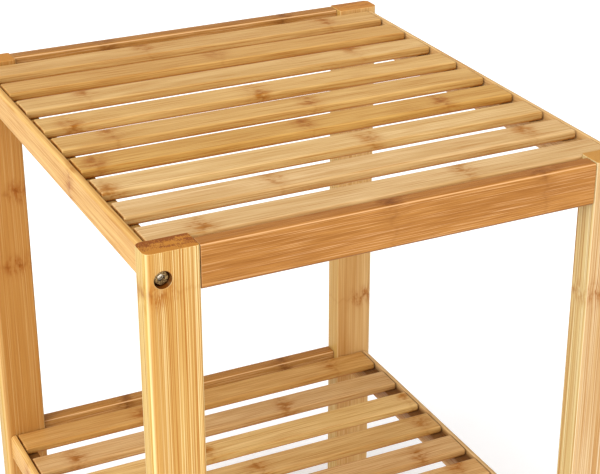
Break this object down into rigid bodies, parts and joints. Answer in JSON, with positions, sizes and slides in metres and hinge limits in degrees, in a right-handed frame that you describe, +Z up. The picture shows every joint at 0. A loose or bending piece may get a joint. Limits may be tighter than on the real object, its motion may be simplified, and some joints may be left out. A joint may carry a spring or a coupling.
{
  "type": "shower stool",
  "caption": "Rectangular two-tier stool with a slatted seat and a matching slatted shelf, bolted side rails and square-cut legs, all in laminated bamboo.",
  "frame": {"origin": "on the floor, under the middle of the stool's footprint", "axes": "+Z up; -Y towards the front, the side with the apron and bolt heads in view; +X to the right seen from the front"},
  "size_m": [0.33, 0.364, 0.45],
  "materials": {
    "bamboo_leg": "lacquered laminated bamboo, upright grain",
    "bamboo_cross_rail": "lacquered laminated bamboo, darker, grain along the rail",
    "bamboo_side_rail": "lacquered laminated bamboo, paler, grain along the rail",
    "bamboo_slat": "lacquered bamboo strip with knuckle marks, grain along the slat",
    "dowel_wood": "raw turned wood",
    "bronzed_bolt": "antique bronze plating, satin",
    "zinc_nut": "zinc plated",
    "rubber_foot": "matt, dark grey"
  },
  "bodies": {
    "root": {"leg_front_left": "bamboo_leg", "foot_pad_front_left": "rubber_foot", "leg_front_right": "bamboo_leg", "foot_pad_front_right": "rubber_foot", "leg_back_left": "bamboo_leg", "foot_pad_back_left": "rubber_foot", "leg_back_right": "bamboo_leg", "foot_pad_back_right": "rubber_foot", "seat_front_rail": "bamboo_cross_rail", "seat_back_rail": "bamboo_cross_rail", "seat_left_rail": "bamboo_side_rail", "seat_right_rail": "bamboo_side_rail", "seat_slat_1": "bamboo_slat", "seat_slat_2": "bamboo_slat", "seat_slat_3": "bamboo_slat", "seat_slat_4": "bamboo_slat", "seat_slat_5": "bamboo_slat", "seat_slat_6": "bamboo_slat", "seat_slat_7": "bamboo_slat", "seat_slat_8": "bamboo_slat", "seat_slat_9": "bamboo_slat", "seat_bolt_front_left": "bronzed_bolt", "seat_barrel_nut_front_left": "zinc_nut", "seat_dowel_front_left": "dowel_wood", "seat_bolt_front_right": "bronzed_bolt", "seat_barrel_nut_front_right": "zinc_nut", "seat_dowel_front_right": "dowel_wood", "seat_bolt_back_left": "bronzed_bolt", "seat_barrel_nut_back_left": "zinc_nut", "seat_dowel_back_left": "dowel_wood", "seat_bolt_back_right": "bronzed_bolt", "seat_barrel_nut_back_right": "zinc_nut", "seat_dowel_back_right": "dowel_wood", "shelf_front_rail": "bamboo_cross_rail", "shelf_back_rail": "bamboo_cross_rail", "shelf_left_rail": "bamboo_side_rail", "shelf_right_rail": "bamboo_side_rail", "shelf_slat_1": "bamboo_slat", "shelf_slat_2": "bamboo_slat", "shelf_slat_3": "bamboo_slat", "shelf_slat_4": "bamboo_slat", "shelf_slat_5": "bamboo_slat", "shelf_slat_6": "bamboo_slat", "shelf_slat_7": "bamboo_slat", "shelf_slat_8": "bamboo_slat", "shelf_slat_9": "bamboo_slat", "shelf_bolt_front_left": "bronzed_bolt", "shelf_barrel_nut_front_left": "zinc_nut", "shelf_dowel_front_left": "dowel_wood", "shelf_bolt_front_right": "bronzed_bolt", "shelf_barrel_nut_front_right": "zinc_nut", "shelf_dowel_front_right": "dowel_wood", "shelf_bolt_back_left": "bronzed_bolt", "shelf_barrel_nut_back_left": "zinc_nut", "shelf_dowel_back_left": "dowel_wood", "shelf_bolt_back_right": "bronzed_bolt", "shelf_barrel_nut_back_right": "zinc_nut", "shelf_dowel_back_right": "dowel_wood"}
  },
  "joints": []
}
